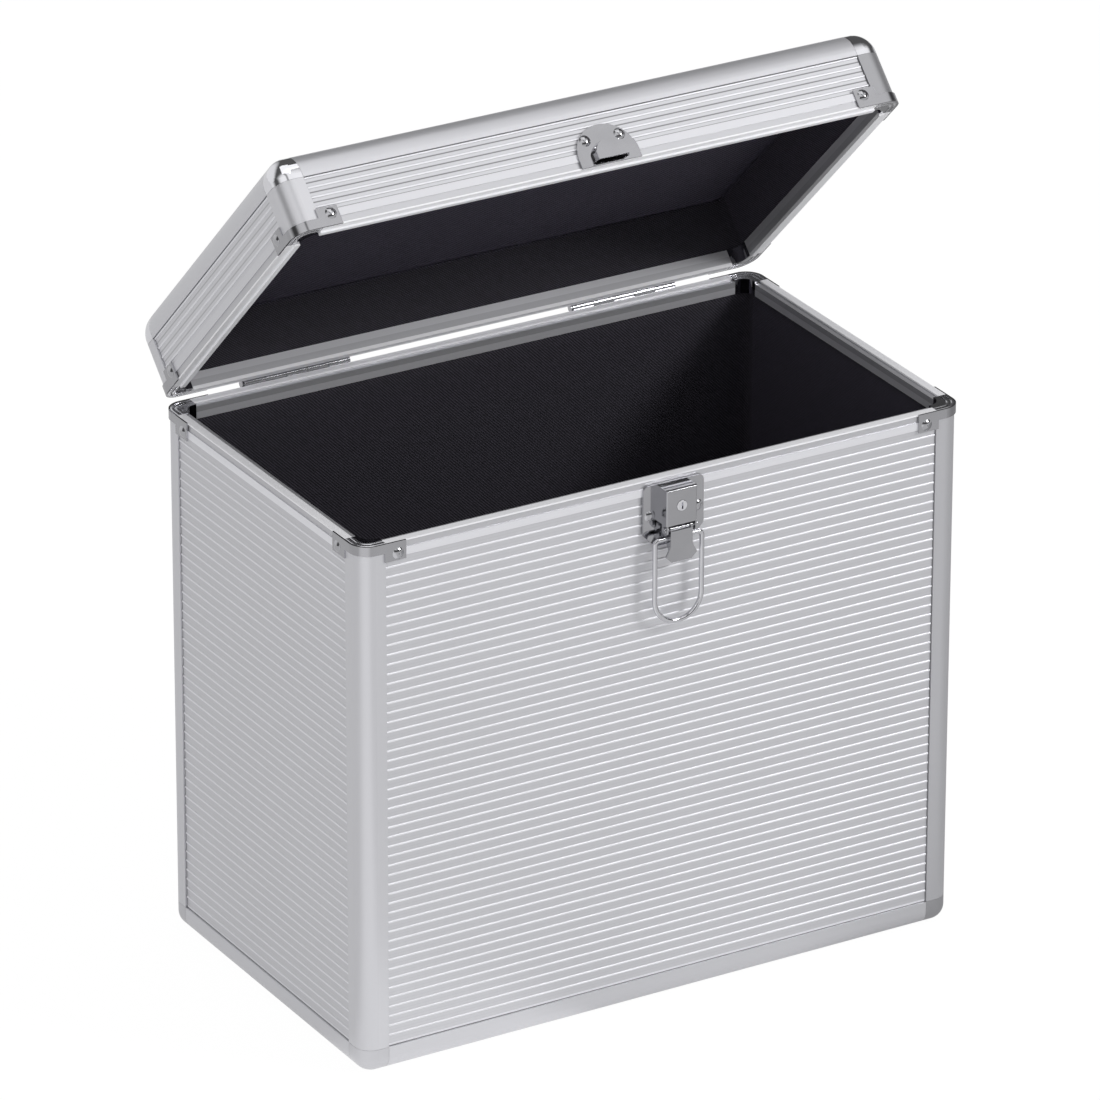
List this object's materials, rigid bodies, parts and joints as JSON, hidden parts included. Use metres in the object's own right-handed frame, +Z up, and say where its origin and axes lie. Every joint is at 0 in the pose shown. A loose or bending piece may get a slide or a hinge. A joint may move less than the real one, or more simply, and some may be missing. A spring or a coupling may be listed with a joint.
{
  "type": "media storage case",
  "caption": "Aluminium-clad storage case for record sleeves, with a hinged lid, riveted corner fittings, a lockable wire-bail latch and a carrying handle.",
  "frame": {"origin": "centre of the base, on the surface that the case stands on", "axes": "+X to the right as seen from the latch, +Y to the hinged back, +Z up; the lid is open by 45 degrees at rest"},
  "size_m": [0.3462, 0.2331, 0.4532],
  "materials": {
    "plywood": "raw plywood board, hidden between sheet and lining",
    "ribbed_sheet": "rolled aluminium sheet with bright ribs",
    "profile": "satin anodised extrusion",
    "satin_cap": "satin silver pressing",
    "bright_cap": "polished pressing",
    "nickel": "nickel-plated steel pressing",
    "rivet_steel": "nickel-plated rivets and pins",
    "key_brass": "nickel-plated plug",
    "bolt_steel": "plain steel",
    "lining": "black twill cloth glued to the boards",
    "handle_plastic": "black moulded grip"
  },
  "bodies": {
    "body": {"back_board": "plywood", "back_left_post": "profile", "back_right_post": "profile", "back_sheet": "ribbed_sheet", "base_corner_caps": "satin_cap", "base_profiles_long": "profile", "base_profiles_short": "profile", "bottom_board": "plywood", "bottom_sheet": "ribbed_sheet", "floor_lining": "lining", "front_board": "plywood", "front_left_post": "profile", "front_right_post": "profile", "front_sheet": "ribbed_sheet", "hinge_body_leaves": "nickel", "hinge_body_rivets": "rivet_steel", "hinge_pins": "rivet_steel", "latch_base": "nickel", "latch_rivets": "rivet_steel", "left_board": "plywood", "left_sheet": "ribbed_sheet", "lever_pin": "rivet_steel", "lock_box": "nickel", "right_board": "plywood", "right_sheet": "ribbed_sheet", "rim_corner_fittings": "nickel", "rim_corner_rivets": "rivet_steel", "rim_profiles_long": "profile", "rim_profiles_short": "profile", "wall_lining": "lining"},
    "lid": {"crown_corner_caps": "bright_cap", "crown_profiles_long": "profile", "crown_profiles_short": "profile", "handle_bracket_rivets": "rivet_steel", "handle_brackets": "nickel", "handle_pins": "rivet_steel", "hinge_lid_leaves": "nickel", "hinge_lid_rivets": "rivet_steel", "keeper": "nickel", "keeper_rivets": "rivet_steel", "lid_back_sheet": "ribbed_sheet", "lid_corner_posts": "profile", "lid_front_sheet": "ribbed_sheet", "lid_left_sheet": "ribbed_sheet", "lid_lining": "lining", "lid_right_sheet": "ribbed_sheet", "lid_rim_corner_fittings": "nickel", "lid_rim_corner_rivets": "rivet_steel", "lid_rim_profiles_long": "profile", "lid_rim_profiles_short": "profile", "lid_top_board": "plywood", "lid_top_sheet": "ribbed_sheet", "lid_wall_boards_long": "plywood", "lid_wall_boards_short": "plywood"},
    "lever": {"latch_lever": "nickel"},
    "bail": {"latch_bail": "nickel"},
    "key": {"key_plug": "key_brass"},
    "bolt": {"lock_bolt": "bolt_steel"},
    "handle": {"carrying_handle": "handle_plastic"}
  },
  "joints": [
    {"name": "lid_hinge", "type": "hinge", "parent": "body", "child": "lid", "pos_m": [0, 0.1021, 0.28615], "axis": [-1, 0, 0], "range_deg": [-45, 50]},
    {"name": "latch_lever", "type": "hinge", "parent": "body", "child": "lever", "pos_m": [0.004, -0.106, 0.2605], "axis": [1, 0, 0], "range_deg": [-95, 0]},
    {"name": "latch_bail", "type": "hinge", "parent": "lever", "child": "bail", "pos_m": [0.004, -0.1048, 0.2553], "axis": [-1, 0, 0], "range_deg": [0, 184]},
    {"name": "key_turn", "type": "hinge", "parent": "body", "child": "key", "pos_m": [0.004, -0.108, 0.2729], "axis": [0, -1, 0], "range_deg": [0, 90]},
    {"name": "bolt_slide", "type": "slide", "parent": "body", "child": "bolt", "axis": [0, 0, -1], "range_m": [0, 0.00254]},
    {"name": "handle_swing", "type": "hinge", "parent": "lid", "child": "handle", "pos_m": [0, 0.06466, 0.3931], "axis": [1, 0, 0], "range_deg": [0, 180]}
  ],
  "couplings": [
    {"joint": "key_turn", "follows": "bolt_slide", "rad_per_m": 617.07}
  ]
}
